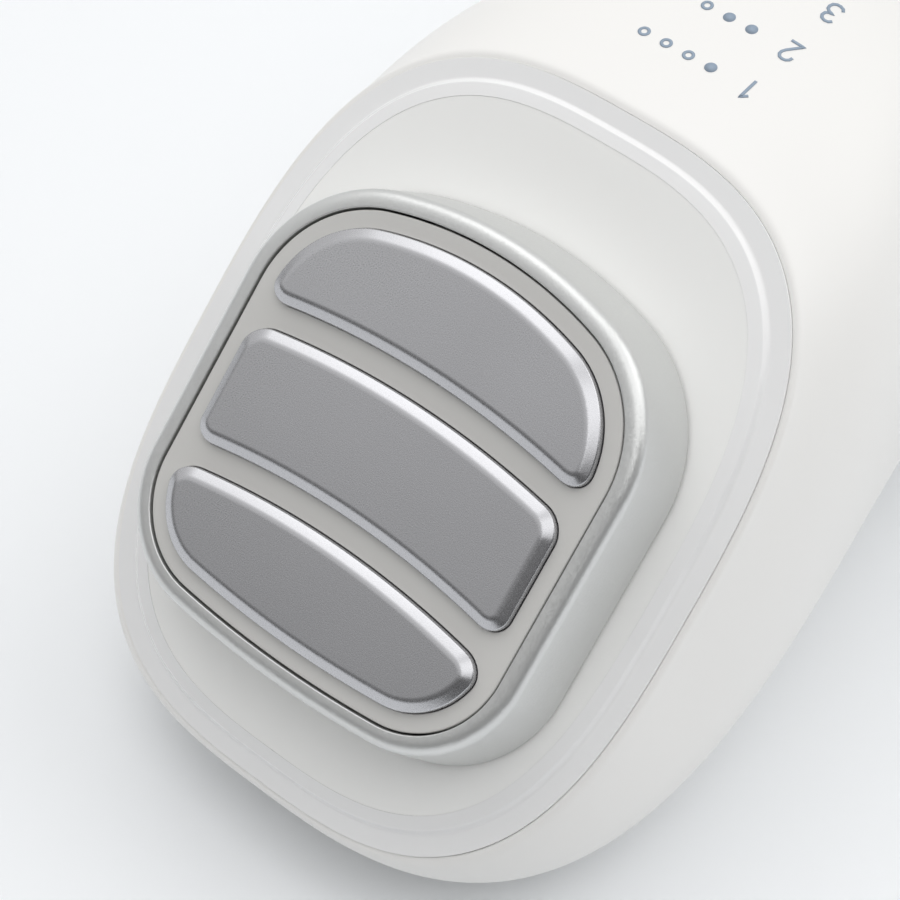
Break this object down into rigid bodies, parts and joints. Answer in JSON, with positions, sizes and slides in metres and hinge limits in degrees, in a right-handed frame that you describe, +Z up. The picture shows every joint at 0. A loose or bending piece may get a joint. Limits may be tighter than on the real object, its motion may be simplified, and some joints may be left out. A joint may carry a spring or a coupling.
{
  "type": "skin scrubber",
  "caption": "Handheld skin scrubber: curved white handle, slanted oval head with a clear rim ring, a raised silver bezel and satin metal contact plates, press buttons and a charging inlet.",
  "frame": {"origin": "middle of the box round the part, at its base, lying on its back on a table", "axes": "+Y from the head's tip to the tail, +Z up out of the button side, +X to the right when looking along +Y"},
  "size_m": [0.0524, 0.1846, 0.0524],
  "materials": {
    "white_plastic": "satin moulded ABS",
    "clear_acrylic": "polished clear acrylic",
    "milk_plastic": "satin, passes light",
    "silver_paint": "satin silver paint on plastic",
    "grey_plastic": "fine moulded texture",
    "contact_steel": "bead-blasted",
    "seal_rubber": "matt",
    "inner_plastic": "moulded, unpainted",
    "green_laminate": "solder mask on laminate",
    "white_laminate": "white solder mask on laminate",
    "black_epoxy": "moulded epoxy",
    "lamp_lens": "phosphor-filled silicone",
    "coil_ferrite": "pressed ferrite",
    "battery_wrap": "lithium cell in a shrunk film sleeve",
    "pad_foam": "foam",
    "pin_brass": "gold flash",
    "screw_steel": "zinc plated",
    "motor_steel": "drawn, nickel plated",
    "weight_metal": "sintered",
    "ribbon_film": "polyimide film"
  },
  "bodies": {
    "housing": {"battery_pack": "battery_wrap", "battery_pad": "pad_foam", "bezel": "silver_paint", "carrier_seal": "seal_rubber", "charge_board": "green_laminate", "charge_socket": "motor_steel", "chassis": "inner_plastic", "chassis_screw_1": "screw_steel", "chassis_screw_2": "screw_steel", "chassis_screw_3": "screw_steel", "chassis_screw_4": "screw_steel", "clear_ring": "clear_acrylic", "contact_pin_lower": "pin_brass", "contact_pin_middle": "pin_brass", "contact_pin_upper": "pin_brass", "control_chip": "black_epoxy", "converter_coil": "coil_ferrite", "cover_screw_1": "screw_steel", "cover_screw_2": "screw_steel", "cover_screw_3": "screw_steel", "cover_screw_4": "screw_steel", "deck_plate": "milk_plastic", "electrode_carrier": "grey_plastic", "electrode_lower": "contact_steel", "electrode_middle": "contact_steel", "electrode_upper": "contact_steel", "front_shell": "white_plastic", "head_board": "green_laminate", "head_retainer": "inner_plastic", "head_screw_1": "screw_steel", "head_screw_2": "screw_steel", "head_screw_3": "screw_steel", "head_screw_4": "screw_steel", "key_board": "green_laminate", "level_lens": "clear_acrylic", "level_switch": "black_epoxy", "light_board": "white_laminate", "main_board": "green_laminate", "mode_switch": "black_epoxy", "motor_can": "motor_steel", "power_switch": "black_epoxy", "rear_cover": "white_plastic", "ribbon_cable": "ribbon_film", "ring_led_1": "lamp_lens", "ring_led_2": "lamp_lens", "ring_led_3": "lamp_lens", "ring_led_4": "lamp_lens", "ring_led_5": "lamp_lens", "ring_led_6": "lamp_lens", "tail_plate": "white_plastic"},
    "mode_button": {"mode_button": "silver_paint"},
    "level_button": {"level_button": "silver_paint"},
    "power_button": {"power_button": "silver_paint"},
    "motor_rotor": {"eccentric_weight": "weight_metal", "motor_shaft": "motor_steel"}
  },
  "joints": [
    {"name": "mode_press", "type": "slide", "parent": "housing", "child": "mode_button", "axis": [0, 0.0275, -0.9996], "range_m": [0, 0.0005], "stiffness_N_per_m": 500, "springref_m": -0.001},
    {"name": "level_press", "type": "slide", "parent": "housing", "child": "level_button", "axis": [0, -0.0371, -0.9993], "range_m": [0, 0.0005], "stiffness_N_per_m": 500, "springref_m": -0.001},
    {"name": "power_press", "type": "slide", "parent": "housing", "child": "power_button", "axis": [0, -0.0909, -0.9959], "range_m": [0, 0.0005], "stiffness_N_per_m": 500, "springref_m": -0.001},
    {"name": "motor_spin", "type": "hinge", "parent": "housing", "child": "motor_rotor", "pos_m": [0.005, -0.03065, 0.02268], "axis": [1, 0, 0], "continuous": true}
  ]
}
